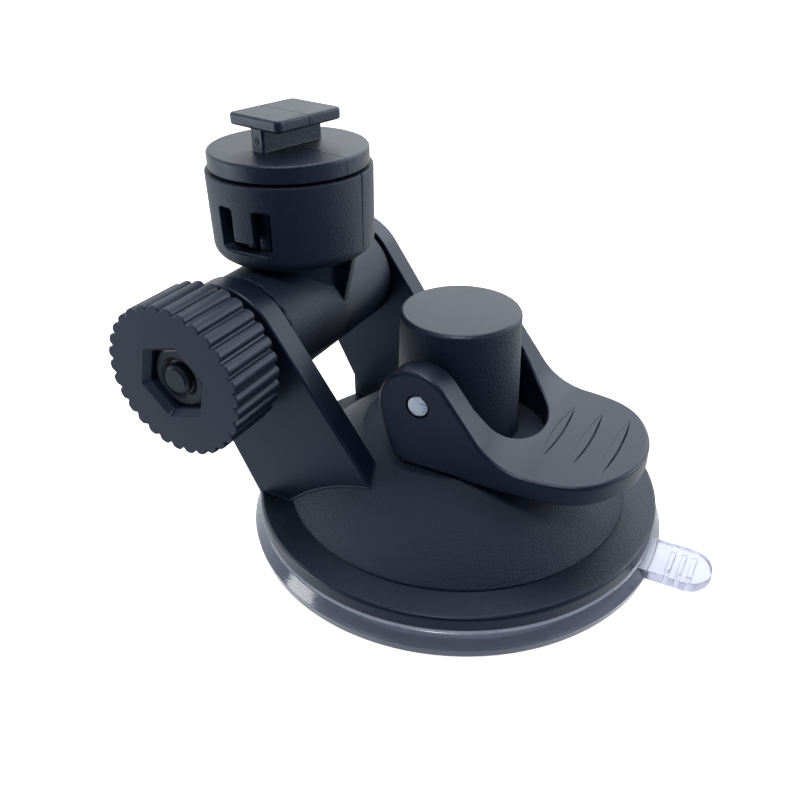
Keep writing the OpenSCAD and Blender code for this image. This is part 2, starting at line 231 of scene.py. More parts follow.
# gives a piece its shading, material and body, and hides the CAD nodes that it stands for
def dress(piece, body, slot, finish, *nodes, sharp=32):
    bm = bmesh.new()
    bm.from_mesh(piece.data)
    bmesh.ops.remove_doubles(bm, verts=bm.verts, dist=0.002 * mm)
    bmesh.ops.dissolve_degenerate(bm, edges=bm.edges, dist=0.001 * mm)
    bmesh.ops.recalc_face_normals(bm, faces=bm.faces)
    bm.to_mesh(piece.data)
    bm.free()
    piece.data.shade_smooth()
    piece.data.set_sharp_from_angle(angle=math.radians(sharp))
    weighted = piece.modifiers.new("weighted normals", "WEIGHTED_NORMAL")
    weighted.keep_sharp = True
    piece.data.materials.clear()
    piece.data.materials.append(finish)
    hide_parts(*nodes)
    if body:
        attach(piece, body)
    print("stage:", piece.name, len(piece.data.polygons), "faces")
    return piece


def hexagon(acrossFlats, turn):
    return [polar(acrossFlats / math.sqrt(3), math.radians(turn + 60 * k)) for k in range(6)]


swivel = {"x": -27, "z": 29.7}
alongSwivel = Matrix.Translation((swivel["x"], 0, swivel["z"])) @ Matrix.Rotation(pi / 2, 4, "X")


# shader helpers

class Wire:  # a socket that can stand in an expression
    def __init__(self, nodes, socket):
        self.nodes, self.socket = nodes, socket

    def maths(self, operation, first, second):
        return self.nodes.add("Math", {"operation": operation}, {0: first, 1: second})

    def __add__(self, other):
        return self.maths("ADD", self, other)

    def __radd__(self, other):
        return self.maths("ADD", other, self)

    def __sub__(self, other):
        return self.maths("SUBTRACT", self, other)

    def __rsub__(self, other):
        return self.maths("SUBTRACT", other, self)

    def __mul__(self, other):
        return self.maths("MULTIPLY", self, other)

    def __rmul__(self, other):
        return self.maths("MULTIPLY", other, self)

    def __pow__(self, other):
        return self.maths("POWER", self, other)

    def __rpow__(self, other):
        return self.maths("POWER", other, self)


class Nodes:  # adds nodes to one tree: type, settings, then the values or wires of its sockets
    def __init__(self, tree):
        self.tree = tree

    def add(self, kind, settings=None, values=None, out=0):
        node = self.tree.nodes.new("ShaderNode" + kind)
        for key, value in (settings or {}).items():
            if key == "stops":  # a new ramp already has a stop at each end
                stops = node.color_ramp.elements
                between = [stops.new(at) for at, colour in value[1:-1]]
                for stop, (at, colour) in zip([stops[0], *between, stops[-1]], value):
                    stop.position, stop.color = at, colour
            else:
                setattr(node, key, value)
        for key, value in (values or {}).items():
            self.feed(node.inputs[key], value)
        return Wire(self, node.outputs[out])

    def feed(self, socket, value):
        if isinstance(value, Wire):
            self.tree.links.new(value.socket, socket)
        else:
            socket.default_value = value

    def place(self):
        return self.add("TexCoord", out=3)


class Finish(Nodes):  # one material and the nodes that make it
    def __init__(self, name, constants):
        self.material = bpy.data.materials.new(name)
        self.material.use_nodes = True
        super().__init__(self.material.node_tree)
        self.shader = self.tree.nodes["Principled BSDF"]
        for key, value in constants.items():
            self.shader.inputs[key].default_value = value

    def shaded(self, **inputs):
        for key, value in inputs.items():
            self.feed(self.shader.inputs[key.replace("_", " ")], value)
        return self.material

    def noise(self, place, scale, detail=2, rough=0.5):
        return self.add("TexNoise", {}, {
            "Vector": place, "Scale": scale, "Detail": detail, "Roughness": rough})

    def cells(self, place, scale):
        return self.add("TexVoronoi", {"feature": "SMOOTH_F1"}, {
            "Vector": place, "Scale": scale, "Smoothness": 0.6})

    def step(self, value, low, high):
        return self.add("MapRange", {"interpolation_type": "SMOOTHSTEP"},
                        {"Value": value, "From Min": low, "From Max": high})

    def tint(self, share, first, second):
        return self.add("Mix", {"data_type": "RGBA"}, {0: share, 6: first, 7: second}, out=2)

    def bump(self, height, strength, distance):
        return self.add("Bump", {}, {"Height": height, "Strength": strength, "Distance": distance})

    def axes(self, place):
        first = self.add("SeparateXYZ", {}, {0: place})
        return [Wire(self, output) for output in first.socket.node.outputs]


bluish = (0.88, 0.96, 1.12, 1)  # the sheen of every black plastic here


def mouldedPlastic(name, look, grainWhere=None):
    finish = Finish(name, {"Specular IOR Level": 0.5, "IOR": 1.5, "Specular Tint": bluish})
    place = finish.place()
    cloud = finish.noise(place, 90, 3)
    flow = finish.noise(place, 420, 4, 0.6)
    grain = finish.cells(place, 1000 / look["grainSize"])
    speck = finish.noise(place, 2300 / look["grainSize"], 2, 0.7)
    where = grainWhere(finish, place) if grainWhere else 1.0
    rough = (1 - grain) * 0.65 + speck * 0.7
    height = rough * where * look["grainDepth"] + flow * 0.25 + speck * 0.05
    share = cloud * 0.45 + rough * where * 0.35 + flow * 0.15
    return finish.shaded(
        Base_Color=finish.tint(share, look["dark"], look["light"]),
        Roughness=look["rough"] + where * look["grainRough"] + flow * 0.08 + (cloud - 0.5) * 0.06,
        Normal=finish.bump(height, look["bump"], 0.09 * mm))


def polishedBlack(name, look):
    finish = Finish(name, {"Metallic": look["metal"], "IOR": 1.5})
    place = finish.place()
    pits = finish.noise(place, 1500, 4, 0.65)
    worn = finish.noise(place, 260, 3)
    return finish.shaded(
        Base_Color=finish.tint(worn, look["dark"], look["light"]),
        Roughness=look["rough"] + pits * 0.12 + worn * 0.08,
        Normal=finish.bump(pits, 0.4, 0.02 * mm))


def cutSteel(name, look):
    finish = Finish(name, {"Metallic": 1.0, "Specular Tint": (1, 1, 1, 1)})
    place = finish.place()
    stretched = finish.add("Mapping", {}, {"Vector": place, "Rotation": (0, 0.7, 0), "Scale": (1, 1, 7)})
    scratch = finish.step(finish.noise(stretched, 900, 3, 0.6), 0.56, 0.66)
    blot = finish.noise(place, 700, 3)
    return finish.shaded(
        Base_Color=finish.tint(scratch * 0.7 + blot * 0.2, look["light"], look["dark"]),
        Roughness=look["rough"] + scratch * 0.2 + blot * 0.12,
        Normal=finish.bump(scratch, 0.5, 0.02 * mm))


def clearVinyl(name, look):  # painted shade and light: darker and smoky-looking under the flange, which shades it, clearer and paler out in the tab, which is painted lit
    finish = Finish(name, {"Transmission Weight": look["clear"], "IOR": 1.46, "Specular IOR Level": 0.5})
    place = finish.place()
    ripple = finish.noise(place, 160, 2)
    haze = finish.noise(place, 900, 3)
    out = finish.step(finish.axes(place)[0] + ripple * (0.6 * mm), *look["tabFrom"])
    # painted shade: the rim's colour under the flange, varied at random by the ripple
    shadedRim = finish.tint(ripple, look["flangeShade"], look["flangeShadeDark"])
    return finish.shaded(
        Base_Color=finish.tint(out, shadedRim, finish.tint(haze, look["tab"], look["tabDark"])),
        Roughness=look["rough"] + haze * 0.1,
        Normal=finish.bump(ripple + haze * 0.15, 0.3, 0.08 * mm))


# the housing: flange, dome, tower and arms in one moulding

housing = {
    "flangeR": 30, "flangeLow": 3.46, "flangeTop": 5.8, "ringR": 25.35, "domeR": 25.3, "domeFoot": 6.1,
    "padR": 14, "padZ": 15.3, "wall": 2.3, "hollowR": 23.9, "hollowTopR": 13.6,
    "skirtR": 26.2, "skirtTop": 3.9, "towerR": 8.85, "towerTopR": 8.42, "towerTop": 33.9,
    "boreR": 6.65, "boreFrom": 13.0, "boreTop": 31.9,
    "armIn": 13.8, "armOut": 17.5, "armR": 8.9, "armFront": 34.5, "armRear": 27,
    "armSoft": 0.4, "armInSoft": 0.25,
    "armFoot": 4.2, "footFrom": 27.45, "footTo": 35.65, "footX": -17, "footTop": 9.9,
    "pinZ": 25.2, "slotR": 1.9, "slotDrop": 2.2, "boltBore": 2.55,
    "bossR": 6.6, "bossIn": 17.3, "bossOut": 20.5, "pocketFrom": 16.8, "pocketFlats": 8.3,
    "teeth": 24, "toothDeep": 0.3, "toothInR": 5, "toothTipZ": 13.6,
    "toothRing": [(4.9, 13.9), (4.9, 13.8), (5.0, 13.8), (5.2, 13.55), (8.1, 13.55),
                  (8.2, 13.8), (8.2, 13.9)],
    "ribs": 8, "ribHalf": 0.7, "rib": [(14, 8.2), (22.2, 8.2), (22, 8.8), (20, 10.8), (18, 12), (14, 13.6)],
}
h = housing
domeMid = ((h["domeR"] ** 2 - h["padR"] ** 2) / (h["padZ"] - h["domeFoot"]) - h["padZ"] - h["domeFoot"]) / -2
domeRadius = math.hypot(h["padR"], h["padZ"] - domeMid)


def domeHeight(r, under=0):  # of the dome's outside, or of a sphere that lies under it
    return domeMid + math.sqrt((domeRadius - under) ** 2 - r * r)


def housingGrain(finish, place):  # the dome and the tower's side are eroded, the rest is smooth
    x, y, z = finish.axes(place)
    fromAxis = (x * x + y * y) ** 0.5
    onDome = (x * x + y * y + (z - domeMid * mm) ** 2) ** 0.5
    dome = finish.step(onDome, (domeRadius + 0.35) * mm, (domeRadius + 0.15) * mm)
    tower = finish.step(fromAxis, 9.4 * mm, 9.0 * mm) * finish.step(z, 33.75 * mm, 33.4 * mm)
    ring = finish.step(z, 5.7 * mm, 5.78 * mm) * 0.55
    above = finish.step(z, 5.9 * mm, 6.05 * mm)
    return finish.add("Math", {"operation": "MAXIMUM"}, {
        0: finish.add("Math", {"operation": "MAXIMUM"}, {0: dome * above, 1: tower}),
        1: ring * (1 - above)})


def makeHousing():
    def sphere(outer, inner, steps, count, under=0):
        across = [outer - (outer - inner) * k / steps for k in range(count)]
        return [(r, domeHeight(r, under)) for r in across]

    slope = sphere(h["domeR"], h["padR"], 22, 22)
    body = lathe("housing", rounded([
        (0, h["flangeLow"]), (h["flangeR"], h["flangeLow"], 0.35), (h["flangeR"], h["flangeTop"], 0.55),
        (h["ringR"], h["flangeTop"]), (h["domeR"], h["domeFoot"], 0.02)]
        + slope[1:] + [(h["padR"], h["padZ"], 1.2), (h["towerR"], h["padZ"], 0.5),
                       (h["towerTopR"], h["towerTop"], 0.6), (0, h["towerTop"])]), 192)
    front, rear = math.radians(h["armFront"]), math.radians(h["armRear"])
    top = arcPoints(0, 0, h["armR"], h["armFront"], 180 + h["armRear"], 40)
    down = swivel["z"] - h["armFoot"]
    foot = [(top[-1][0] + (down + top[-1][1]) * math.tan(rear), -down),
            (top[0][0] + (down + top[0][1]) * math.tan(front), -down)]
    for side in (1, -1):
        low, high = sorted((side * h["armIn"], side * h["armOut"]))
        soft = (h["armInSoft"], h["armSoft"])[::side]
        combine(body, softPrism("arm", top + foot, low, high, *soft, place=alongSwivel))
        around = [180 + side * h[key] for key in ("footFrom", "footTo")]
        plan = arcPoints(0, 0, h["flangeR"] - 0.04, *around, 10)
        plan += [(h["footX"], plan[-1][1]), (h["footX"], plan[0][1])]
        combine(body, softPrism("foot", plan, h["armFoot"], h["footTop"]))
    combine(body, lathe("boss", rounded([
        (0, -h["bossOut"]), (h["bossR"], -h["bossOut"], 0.6), (h["bossR"], -h["bossIn"]), (0, -h["bossIn"])]),
        96, alongSwivel))

    def toothWave(angle, r, z):
        if z > h["toothTipZ"] or r < h["toothInR"]:
            return 0
        return -h["toothDeep"] * abs((angle * h["teeth"] / (2 * pi)) % 1 * 2 - 1)

    combine(body, lathe("armTeeth", h["toothRing"], 240, alongSwivel, toothWave))
    cut(body, lathe("hollow", [(0, -1), (h["skirtR"], -1), (h["skirtR"], h["skirtTop"])]
                    + sphere(h["hollowR"], h["hollowTopR"], 14, 15, h["wall"])
                    + [(h["boreR"], h["boreFrom"]), (h["boreR"], h["boreTop"]), (0, h["boreTop"])], 144))
    for k in range(h["ribs"]):
        turn = Matrix.Rotation(math.radians(22.5 + 45 * k), 4, "Z") @ Matrix.Rotation(pi / 2, 4, "X")
        combine(body, softPrism("rib", h["rib"], -h["ribHalf"], h["ribHalf"], place=turn))
    r, z, drop = h["slotR"], h["pinZ"], h["slotDrop"]
    slot = arcPoints(0, z, r, 0, 180, 12) + arcPoints(0, z - drop, r, 180, 360, 12)
    cut(body, softPrism("slot", slot, -12, 12, place=Matrix.Rotation(pi / 2, 4, "X")))
    cut(body, rod("bore", h["boltBore"], -21, 21, alongSwivel))
    pocket = hexagon(h["pocketFlats"], 30)
    cut(body, loft("pocket", [(-22, pocket), (-h["pocketFrom"], pocket)], alongSwivel))
    return body


housingFinish = mouldedPlastic("eroded black plastic", {
    "dark": (0.002, 0.004, 0.013, 1), "light": (0.009, 0.0135, 0.03, 1), "rough": 0.34,
    "grainSize": 0.3, "grainDepth": 1.5, "grainRough": 0.12, "bump": 0.8}, housingGrain)
dress(makeHousing(), "base", "housing_plastic", housingFinish, "base_housing")


# the soft cup: a rim with its pull tab, and the skin that the stem lifts

cup = {
    "rim": [(25, 0.0), (30.9, 0.0, 0.15), (31.15, 1.35, 0.24), (29.95, 3.2, 0.5), (26.2, 3.2, 0.4),
            (25, 2.4)],
    "tabSide": [(28, -3.8), (31.6, -3.78), (34, -3.75), (36.2, -3.72), (37.6, -3.2), (38.6, -1.95),
                (39.05, -0.6), (39.1, 0)],
    "tabLow": 1.15, "tabTop": 2.9, "tabMid": -0.55,
    "ridges": (33.5, 35.0, 36.4), "ridgeHalf": 0.36, "ridgeFrom": -3.35, "ridgeTo": 2.2, "ridgeSoft": 0.25,
    "skinUnder": [(0, 3.6), (8, 3.6), (12, 3.5), (18.5, 2.1), (24.96, 0.6)],
    "skinTop": [(24.96, 2.4), (18.5, 3.95), (12, 5.38), (8, 5.4), (0, 5.4)],
    "bendFrom": (0, 0, 1.0 * mm), "bendTo": (0, 0, 5.2 * mm),
}


def makeCupRim():
    rim = lathe("cupRim", rounded(cup["rim"]), 192)
    side = smoothThrough(cup["tabSide"])
    outline = [(x, y + cup["tabMid"]) for x, y in side + [(x, -y) for x, y in reversed(side[:-1])]]
    combine(rim, softPrism("tab", outline, cup["tabLow"], cup["tabTop"], 0.5, 0.22))
    for x in cup["ridges"]:
        left, right, soft = x - cup["ridgeHalf"], x + cup["ridgeHalf"], cup["ridgeSoft"]
        ridge = rounded([(left, cup["ridgeFrom"], soft), (right, cup["ridgeFrom"], soft),
                         (right, cup["ridgeTo"], soft), (left, cup["ridgeTo"], soft)], 3)
        combine(rim, softPrism("ridge", ridge, cup["tabTop"] - 0.3, cup["tabTop"] + 0.36, 0, 0.16))
        combine(rim, softPrism("lowRidge", ridge, cup["tabLow"] - 0.45, cup["tabLow"] + 0.3, 0.16, 0))
    return rim


def makeCupSkin():
    return lathe("cupSkin", smoothThrough(cup["skinUnder"], 6) + smoothThrough(cup["skinTop"], 6), 144)


# the two darker rim colours are painted shade under the flange; the paler tab colours are painted light
vinyl = clearVinyl("clear vinyl", {
    "clear": 0.78, "rough": 0.08, "flangeShade": (0.42, 0.45, 0.53, 1), "flangeShadeDark": (0.26, 0.29, 0.36, 1),
    "tab": (0.74, 0.75, 0.84, 1), "tabDark": (0.58, 0.59, 0.69, 1), "tabFrom": (0.0302, 0.0318)})
dress(makeCupRim(), "base", "cup_vinyl", vinyl, "suction_cup")
skinPiece = dress(makeCupSkin(), None, "cup_vinyl", vinyl, "cup_web", "cup_centre")
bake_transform(skinPiece)


# the stem, its spring and the lever's pin

stem = {"footR": 12, "footLow": 5.4, "footTop": 7.2, "r": 6.35, "top": 31.3, "bore": 1.55}
spring = {
    "r": 7.65, "wire": 0.5, "low": 7.75, "high": 12.45, "turns": 3, "steps": 36, "sides": 12,
    "closedEnds": 0.35,  # how much of the rise is held back from the first and last turns
    "bendFrom": (0, 0, 13.0 * mm), "bendTo": (0, 0, 7.2 * mm),
}
pin = {"r": 1.5, "half": 12.96, "soft": 0.18}
acrossPin = Matrix.Translation((0, 0, h["pinZ"])) @ Matrix.Rotation(pi / 2, 4, "X")


def makeStem():
    piece = lathe("liftingStem", rounded([
        (0, stem["footLow"]), (stem["footR"], stem["footLow"], 0.3), (stem["footR"], stem["footTop"], 0.4),
        (stem["r"], stem["footTop"], 0.4), (stem["r"], stem["top"], 0.5), (0, stem["top"])]), 96)
    return cut(piece, rod("bore", stem["bore"], -14, 14, acrossPin))


def makeSpring():
    points, faces = [], []
    rows, sides = spring["turns"] * spring["steps"], spring["sides"]
    for row in range(rows + 1):
        share = row / rows
        angle = 2 * pi * spring["turns"] * share
        eased = share * share * (3 - 2 * share) * spring["closedEnds"] + share * (1 - spring["closedEnds"])
        z = spring["low"] + (spring["high"] - spring["low"]) * eased
        for k in range(sides):
            out, up = polar(spring["wire"], 2 * pi * k / sides)
            points.append((*polar(spring["r"] + out, angle), z + up))
    for row in range(rows):
        for k in range(sides):
            j = (k + 1) % sides
            faces.append((row * sides + k, row * sides + j, (row + 1) * sides + j, (row + 1) * sides + k))
    faces += [tuple(range(sides)), tuple(range(rows * sides, (rows + 1) * sides))]
    return newPiece("returnSpring", points, faces)


plainBlack = mouldedPlastic("plain black plastic", {
    "dark": (0.004, 0.005, 0.010, 1), "light": (0.012, 0.014, 0.024, 1), "rough": 0.38,
    "grainSize": 0.3, "grainDepth": 0.2, "grainRough": 0.04, "bump": 0.5})
springSteel = cutSteel("spring steel", {
    "rough": 0.3, "light": (0.6, 0.61, 0.63, 1), "dark": (0.35, 0.36, 0.38, 1)})
dress(makeStem(), "stem", "stem_plastic", plainBlack, "cup_stem")
springPiece = dress(makeSpring(), None, "spring_steel", springSteel, "return_spring", sharp=60)
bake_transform(springPiece)


# the lever: two ears on the pin and a paddle with three finger grips

lever = {
    "earIn": 9.2, "earOut": 13.0, "topR": 5.5, "topX": -0.45, "topZ": -0.6, "floor": -9.6, "paddleTop": -6.65,
    "slope": 52.6, "slopeSoft": 9.0, "edge": 0.55, "inner": 0.22, "pinBore": 1.72,
    "throatX": 3.9, "throatR": 9.2, "earEnd": 8.0, "earRound": 187,
    "earBack": [(-5.88, -1.8), (-5.3, -4.3), (-4.6, -6.9), (-3.8, -8.7, 0.9)],
    "earCornerX": -2.3, "earSoft": 0.8, "paddleFrom": 6.2, "bends": 24, "bendStep": 0.4, "sunk": 0.004,
    "grips": (15.4, 19.5, 23.5), "gripHalf": 7.2, "gripWide": 0.75,  # gripShape: share of width, rise
    "gripShape": [(-1, 1), (-1, -0.06), (0.45, -0.1), (0.8, -0.32), (1, -0.34), (1, 1)],
    "plan": [(9, 13.0), (12, 12.99), (14, 12.93), (16, 12.78), (18.3, 12.45), (20.6, 11.85), (22.7, 10.75),
             (24.4, 9.2), (25.8, 7.1), (26.9, 4.7), (27.5, 2.4), (27.7, 0)],
}


def leverTop(x):  # height and steepness of the top face: a straight slope, then a wide fillet into the paddle
    v = lever
    lean = math.radians(v["slope"])
    startX = v["topX"] + v["topR"] * math.sin(lean)
    startZ = v["topZ"] + v["topR"] * math.cos(lean)
    meet = startX + (startZ - v["paddleTop"]) / math.tan(lean)
    end = meet + v["slopeSoft"] * math.tan(lean / 2)
    if x >= end:
        return v["paddleTop"], 0
    if end - x >= v["slopeSoft"] * math.sin(lean):
        return startZ - (x - startX) * math.tan(lean), math.tan(lean)
    rise = math.sqrt(v["slopeSoft"] ** 2 - (end - x) ** 2)
    return v["paddleTop"] + v["slopeSoft"] - rise, (end - x) / rise


def shapePaddle(piece):  # lifts the flat paddle's top into the slope
    v = lever
    bm = bmesh.new()
    bm.from_mesh(piece.data)
    for k in range(v["bends"]):
        spot = Vector(((v["paddleFrom"] + 0.3 + v["bendStep"] * k) * mm, 0, 0))
        bmesh.ops.bisect_plane(bm, geom=bm.verts[:] + bm.edges[:] + bm.faces[:],
                               plane_co=spot, plane_no=(1, 0, 0))
    top = h["pinZ"] + v["paddleTop"]
    for vert in bm.verts:
        below = top - vert.co.z / mm
        if below < v["edge"] + 0.01:
            height, steep = leverTop(vert.co.x / mm)
            vert.co.z = (h["pinZ"] + height - v["sunk"] - below * math.hypot(1, steep)) * mm
    bm.to_mesh(piece.data)
    bm.free()
    return piece


def gripTool(x, place):  # a leaf-shaped dent, deepest along its right side
    v = lever
    bow = (v["gripHalf"] ** 2 + v["gripWide"] ** 2) / (2 * v["gripWide"])
    levels = []
    for k in range(-20, 21):
        y = v["gripHalf"] * 0.995 * k / 20
        wide = math.sqrt(bow * bow - y * y) - bow + v["gripWide"]
        levels.append((y, [(x + wide * across, v["paddleTop"] + rise) for across, rise in v["gripShape"]]))
    return loft("grip", levels, place)


def makeLever():
    v = lever
    ear = rounded(v["earBack"] + [(v["earCornerX"], v["floor"], v["earSoft"]), (v["earEnd"], v["floor"]),
                                  (v["earEnd"], leverTop(v["earEnd"])[0])], 6)
    ear += arcPoints(v["topX"], v["topZ"], v["topR"], 90 - v["slope"], v["earRound"], 36)
    piece = softPrism("lever", ear, v["earIn"], v["earOut"], v["inner"], v["edge"], acrossPin)
    combine(piece, softPrism("farEar", ear, -v["earOut"], -v["earIn"], v["edge"], v["inner"], acrossPin))
    edge = [(v["paddleFrom"], v["earOut"])] + smoothThrough(v["plan"], 4)
    plan = [(x, -y) for x, y in edge[:-1]] + list(reversed(edge))
    span = math.degrees(math.acos((v["paddleFrom"] - v["throatX"]) / v["throatR"]))
    plan += [(x + 0.006, y) for x, y in arcPoints(v["throatX"], 0, v["throatR"], span, -span, 60)]
    atPin = Matrix.Translation((0, 0, h["pinZ"]))
    combine(piece, shapePaddle(softPrism("paddle", plan, v["floor"], v["paddleTop"], 0.3, v["edge"], atPin)))
    cut(piece, rod("pinBore", v["pinBore"], -14, 14, acrossPin))
    cut(piece, *[gripTool(x, acrossPin) for x in v["grips"]])
    return piece


leverFinish = mouldedPlastic("satin black plastic", {
    "dark": (0.003, 0.005, 0.014, 1), "light": (0.009, 0.013, 0.029, 1), "rough": 0.33,
    "grainSize": 0.22, "grainDepth": 0.22, "grainRough": 0.03, "bump": 0.35})
dress(makeLever(), "lever_arm", "lever_plastic", leverFinish, "lever")
pinSteel = cutSteel("scratched pin steel", {
    "rough": 0.34, "light": (0.85, 0.86, 0.85, 1), "dark": (0.2, 0.21, 0.21, 1)})
pinPiece = lathe("leverPin", rounded([
    (0, -pin["half"]), (pin["r"], -pin["half"], pin["soft"]),
    (pin["r"], pin["half"], pin["soft"]), (0, pin["half"])]), 64, acrossPin)
dress(pinPiece, "lever_arm", "pin_steel", pinSteel, "lever_pin")


# the swivel socket: barrel, gusset and drum with its snap windows

socket = {
    "barrelR": 8.5, "near": 13.05, "far": 13.5, "tooth": 0.3, "teeth": 24, "neckR": 7.5, "webHalf": 0.65,
    "drumLow": 38.4, "drumTop": 50.4, "drumR": 11.8, "drumFootR": 11.65, "drumInR": 10, "drumFloor": 40.2,
    "footSoft": 1.9, "windowHalf": 20.8, "windowLow": 41.1, "windowTop": 47.0,
    "fingerHalf": 8.1, "fingerLow": 42.5,
    "windowLip": [(-0.24, 0), (-0.08, 0.08), (0.06, 0.26)],  # past the drum's radius, and its opening there
    "gusset": [(-8.3, 1.5), (8.3, 1.5), (10.4, 9.7), (-10.4, 9.7)], "seamDeep": 0.12, "seamHalf": 0.42,
}


def socketGrain(finish, place):  # the barrel's far half is smooth
    y, z = finish.axes(place)[1:]
    barrel = finish.step(z, 38.5 * mm, 38.0 * mm)
    return 1 - barrel * finish.step(y, -0.2 * mm, 0.2 * mm) * 0.8


def windowTool(side):
    s = socket
    perDegree = pi / 180 * s["drumR"]
    wide, finger = s["windowHalf"] * perDegree, s["fingerHalf"] * perDegree
    shape = rounded([
        (-wide, s["windowLow"], 0.5), (wide, s["windowLow"], 0.5), (wide, s["windowTop"], 0.45),
        (finger, s["windowTop"], 0.3), (finger, s["fingerLow"], 0.35), (-finger, s["fingerLow"], 0.35),
        (-finger, s["windowTop"], 0.3), (-wide, s["windowTop"], 0.45)], 4)
    lip = [(s["drumR"] + past, grow) for past, grow in s["windowLip"]]
    levels = [(r, inset(shape, -grow)) for r, grow in [(8.4, 0)] + lip + [(14.5, lip[-1][1])]]
    points, faces, count = [], [], len(shape)
    for r, outline in levels:
        for along, z in outline:
            angle = math.radians(side) + along / s["drumR"]
            x, y = polar(r, angle)
            points.append((swivel["x"] + x, y, z))
    for level in range(len(levels) - 1):
        for k in range(count):
            j = (k + 1) % count
            a, b = level * count, (level + 1) * count
            faces.append((a + k, a + j, b + j, b + k))
    faces += [tuple(reversed(range(count))), tuple(range((len(levels) - 1) * count, len(levels) * count))]
    return newPiece("window", points, faces)


def makeSocket():
    s = socket

    def crown(angle, r, z):
        onTooth = z > s["near"] - 0.01 and r > 4.8
        return s["tooth"] * abs((angle * s["teeth"] / (2 * pi)) % 1 * 2 - 1) if onTooth else 0

    face = [(r, s["near"]) for r in (s["barrelR"] - 0.1, 6.5, 4.9, 4.7, 2.3)]
    piece = lathe("swivelSocket", rounded([
        (2.3, -s["far"]), (s["barrelR"], -s["far"], 0.35),
        (s["barrelR"], s["near"] - 0.5), (s["barrelR"], s["near"] - 0.1)] + face), 240, alongSwivel, crown)
    drum = lathe("drum", rounded([
        (0, s["drumLow"]), (s["drumFootR"], s["drumLow"], s["footSoft"]), (s["drumR"], s["drumTop"], 0.2),
        (s["drumInR"], s["drumTop"], 0.2), (s["drumInR"], s["drumFloor"], 0.5), (0, s["drumFloor"])], 6), 180,
        Matrix.Translation((swivel["x"], 0, 0)))
    combine(piece, rod("neck", s["neckR"], 30, 39.5, Matrix.Translation((swivel["x"], 0, 0)), 96))
    combine(piece, softPrism("gusset", s["gusset"], -s["webHalf"], s["webHalf"], 0.15, 0.15, alongSwivel))
    combine(piece, drum)
    cut(piece, rod("bore", h["boltBore"], -15, 15, alongSwivel))
    cut(piece, windowTool(-90), windowTool(90))
    for angle in (0, 180):  # the mould's parting line down the drum
        turn = Matrix.Translation((swivel["x"], 0, 0)) @ Matrix.Rotation(math.radians(angle), 4, "Z")
        groove = [(s["drumFootR"] - s["seamDeep"], 0), (12.2, -s["seamHalf"]), (12.2, s["seamHalf"])]
        cut(piece, loft("seam", [(39.6, groove), (51, groove)], turn))
    return piece


socketFinish = mouldedPlastic("matt black plastic", {
    "dark": (0.003, 0.005, 0.014, 1), "light": (0.011, 0.015, 0.032, 1), "rough": 0.38,
    "grainSize": 0.26, "grainDepth": 1.1, "grainRough": 0.08, "bump": 0.65}, socketGrain)
dress(makeSocket(), "socket", "socket_plastic", socketFinish, "swivel_socket")


# the camera shoe: turntable disc, grooved hub, neck and T-plate

shoe = {
    "turn": -12, "discR": 11.3, "discLow": 50.7, "discTop": 53.1, "hubR": 9.4, "hubLow": 40.5, "hubInR": 7.2,
    "grooves": 24, "grooveDeep": 0.45, "neck": (2.5, 11), "neckSoft": 0.4,
    "neckFoot": [(-0.1, 0.16), (0, 0.15), (0.06, 0.05), (0.16, 0)],  # height over the disc, flare
    "plate": (10, 12), "plateLow": 56.2, "plateTop": 57.8, "plateCorner": 0.9,
    "lines": [("plateTop", 0.07, -6, 6, -0.36, -0.26), ("discTop", 0.1, 2, 12, -0.06, 0.06),
              ("plateTop", 0.06, 4.05, 4.2, -1.9, -0.6), ("plateTop", 0.06, 3.4, 4.2, -2.0, -1.88)],
    "sideSeams": [(55.8, 58.2, 4.93, -0.31), (50, 53.5, 11.2, 0), (55.8, 58.2, -4.93, -0.31)],
    "gateZ": 54.6, "gate": [(0, -0.2), (0.5, -0.2), (0.5, 0.03), (0.42, 0.1), (0.3, 0.1), (0.26, 0.03),
                            (0.14, 0.03), (0.1, 0.12), (0, 0.12)],
}


def corners(wide, long, radius, steps=5):
    x, y = wide / 2, long / 2
    return rounded([(-x, -y, radius), (x, -y, radius), (x, y, radius), (-x, y, radius)], steps)


def makeShoe():
    s = shoe
    place = Matrix.Translation((swivel["x"], 0, 0)) @ Matrix.Rotation(math.radians(s["turn"]), 4, "Z")
    piece = lathe("cameraShoe", rounded([
        (0, s["discLow"]), (s["discR"], s["discLow"], 0.2),
        (s["discR"], s["discTop"], 0.42), (0, s["discTop"])], 5), 180, place)
    rim = []
    for k in range(s["grooves"] * 10):
        dip = max(0, math.cos(2 * pi * k / 10)) ** 2
        rim.append(polar(s["hubR"] - s["grooveDeep"] * dip, 2 * pi * k / (s["grooves"] * 10)))
    combine(piece, softPrism("hub", rim, s["hubLow"], s["discLow"] + 0.1, 0.3, 0, place))
    cut(piece, rod("hubHollow", s["hubInR"], s["hubLow"] - 1, s["discLow"] - 1.9, place))
    neck = corners(*s["neck"], s["neckSoft"])
    foot = [(s["discTop"] + rise, inset(neck, -flare)) for rise, flare in s["neckFoot"]]
    combine(piece, loft("neck", foot + [(s["plateLow"] + 0.1, neck)], place))
    combine(piece, softPrism("plate", corners(*s["plate"], s["plateCorner"]), s["plateLow"], s["plateTop"],
                             0.35, 0.38, place))
    for face, deep, x0, x1, y0, y1 in s["lines"]:
        line = [(x0, y0), (x1, y0), (x1, y1), (x0, y1)]
        cut(piece, softPrism("line", line, s[face] - deep, s[face] - deep + 0.5, place=place))
    for low, high, x, y in s["sideSeams"]:
        edge = [(x, y), (x * 1.05, y - 0.3), (x * 1.05, y + 0.3)]
        cut(piece, softPrism("sideSeam", edge, low, high, place=place))
    gate = place @ Matrix.Translation((0, -s["neck"][1] / 2, s["gateZ"])) @ Matrix.Rotation(pi / 2, 4, "X")
    return combine(piece, lathe("gate", s["gate"], 24, gate))


